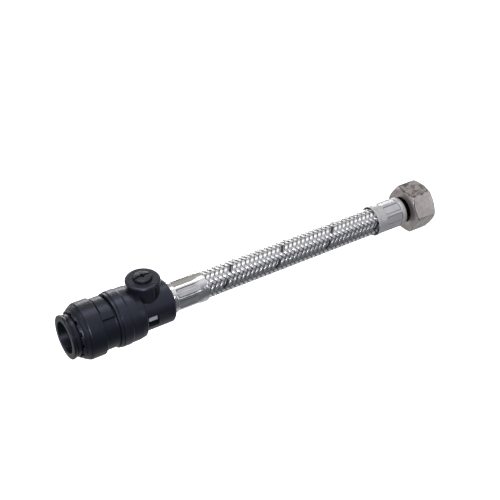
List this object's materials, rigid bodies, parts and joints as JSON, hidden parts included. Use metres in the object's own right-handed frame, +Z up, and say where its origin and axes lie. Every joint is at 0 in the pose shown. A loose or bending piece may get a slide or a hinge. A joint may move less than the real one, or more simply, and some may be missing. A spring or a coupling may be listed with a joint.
{
  "type": "braided flexible tap connector with service valve",
  "caption": "Braided stainless hose with a push-fit pipe socket and quarter-turn isolating ball valve at one end and a swivel nut with washer at the other.",
  "frame": {"origin": "middle of the bottom of the bounding box; the pipe and hose axis is 15 mm above it", "axes": "+X along the hose from the push-fit socket's face to the swivel nut's end, +Z up the valve stem, +Y across"},
  "size_m": [0.224, 0.03, 0.0358],
  "materials": {
    "black_body": "satin moulded engineering plastic, charcoal black",
    "black_cap": "satin moulded engineering plastic, charcoal black",
    "black_collet": "satin moulded acetal, charcoal black",
    "black_stem": "satin moulded plastic, charcoal black",
    "pale_acetal": "satin moulded acetal, pale lilac grey",
    "spring_steel": "bright stainless spring strip",
    "nylon": "natural nylon",
    "ptfe": "white PTFE",
    "epdm": "matt black EPDM rubber",
    "chromed_ball": "polished chrome plate",
    "brass": "machined brass",
    "ferrule_steel": "pressed stainless steel, lightly polished",
    "braid_steel": "woven stainless wire with one black tracer strand",
    "nickel": "satin nickel plate on brass"
  },
  "bodies": {
    "valve": {"valve_body": "black_body", "end_cap": "black_cap", "grab_ring": "spring_steel", "spacer_ring": "nylon", "pipe_seal_o_ring": "epdm", "ball_seat_inlet": "ptfe", "ball_seat_outlet": "ptfe", "tail_retainer": "pale_acetal"},
    "collet": {"release_collet": "black_collet"},
    "stem": {"valve_stem": "black_stem", "stem_o_ring": "epdm"},
    "ball": {"valve_ball": "chromed_ball"},
    "hose_1": {"hose_tail": "brass", "tail_o_ring": "epdm", "ferrule_inlet": "ferrule_steel", "hose_liner_1": "epdm", "hose_braid_1": "braid_steel"},
    "hose_2": {"hose_liner_2": "epdm", "hose_braid_2": "braid_steel"},
    "hose_3": {"hose_liner_3": "epdm", "hose_braid_3": "braid_steel"},
    "hose_4": {"hose_liner_4": "epdm", "hose_braid_4": "braid_steel"},
    "hose_5": {"hose_liner_5": "epdm", "hose_braid_5": "braid_steel"},
    "hose_6": {"hose_liner_6": "epdm", "hose_braid_6": "braid_steel"},
    "hose_7": {"hose_liner_7": "epdm", "hose_braid_7": "braid_steel", "ferrule_outlet": "ferrule_steel", "nut_tail": "brass", "nut_washer": "epdm"},
    "nut": {"swivel_nut": "nickel"}
  },
  "joints": [
    {"name": "collet_release", "type": "slide", "parent": "valve", "child": "collet", "axis": [1, 0, 0], "range_m": [0, 0.0022], "stiffness_N_per_m": 400},
    {"name": "stem_turn", "type": "hinge", "parent": "valve", "child": "stem", "pos_m": [-0.0675, 0, 0.028], "axis": [0, 0, 1], "range_deg": [0, 90]},
    {"name": "ball_turn", "type": "hinge", "parent": "valve", "child": "ball", "pos_m": [-0.0675, 0, 0.015], "axis": [0, 0, 1], "range_deg": [0, 90]},
    {"name": "hose_swivel", "type": "hinge", "parent": "valve", "child": "hose_1", "pos_m": [-0.058, 0, 0.015], "axis": [1, 0, 0], "continuous": true},
    {"name": "hose_bend_1", "type": "hinge", "parent": "hose_1", "child": "hose_2", "pos_m": [-0.02459, 0, 0.015], "axis": [0, 1, 0], "range_deg": [-15, 15], "stiffness_Nm_per_rad": 0.3},
    {"name": "hose_bend_2", "type": "hinge", "parent": "hose_2", "child": "hose_3", "pos_m": [-0.00637, 0, 0.015], "axis": [0, 1, 0], "range_deg": [-15, 15], "stiffness_Nm_per_rad": 0.3},
    {"name": "hose_bend_3", "type": "hinge", "parent": "hose_3", "child": "hose_4", "pos_m": [0.01184, 0, 0.015], "axis": [0, 1, 0], "range_deg": [-15, 15], "stiffness_Nm_per_rad": 0.3},
    {"name": "hose_bend_4", "type": "hinge", "parent": "hose_4", "child": "hose_5", "pos_m": [0.03006, 0, 0.015], "axis": [0, 1, 0], "range_deg": [-15, 15], "stiffness_Nm_per_rad": 0.3},
    {"name": "hose_bend_5", "type": "hinge", "parent": "hose_5", "child": "hose_6", "pos_m": [0.04827, 0, 0.015], "axis": [0, 1, 0], "range_deg": [-15, 15], "stiffness_Nm_per_rad": 0.3},
    {"name": "hose_bend_6", "type": "hinge", "parent": "hose_6", "child": "hose_7", "pos_m": [0.06649, 0, 0.015], "axis": [0, 1, 0], "range_deg": [-15, 15], "stiffness_Nm_per_rad": 0.3},
    {"name": "nut_spin", "type": "hinge", "parent": "hose_7", "child": "nut", "pos_m": [0.105, 0, 0.015], "axis": [1, 0, 0], "continuous": true}
  ],
  "couplings": [
    {"joint": "ball_turn", "follows": "stem_turn", "ratio": 1},
    {"joint": "hose_bend_2", "follows": "hose_bend_1", "ratio": 1},
    {"joint": "hose_bend_3", "follows": "hose_bend_1", "ratio": 1},
    {"joint": "hose_bend_4", "follows": "hose_bend_1", "ratio": 1},
    {"joint": "hose_bend_5", "follows": "hose_bend_1", "ratio": 1},
    {"joint": "hose_bend_6", "follows": "hose_bend_1", "ratio": 1}
  ]
}
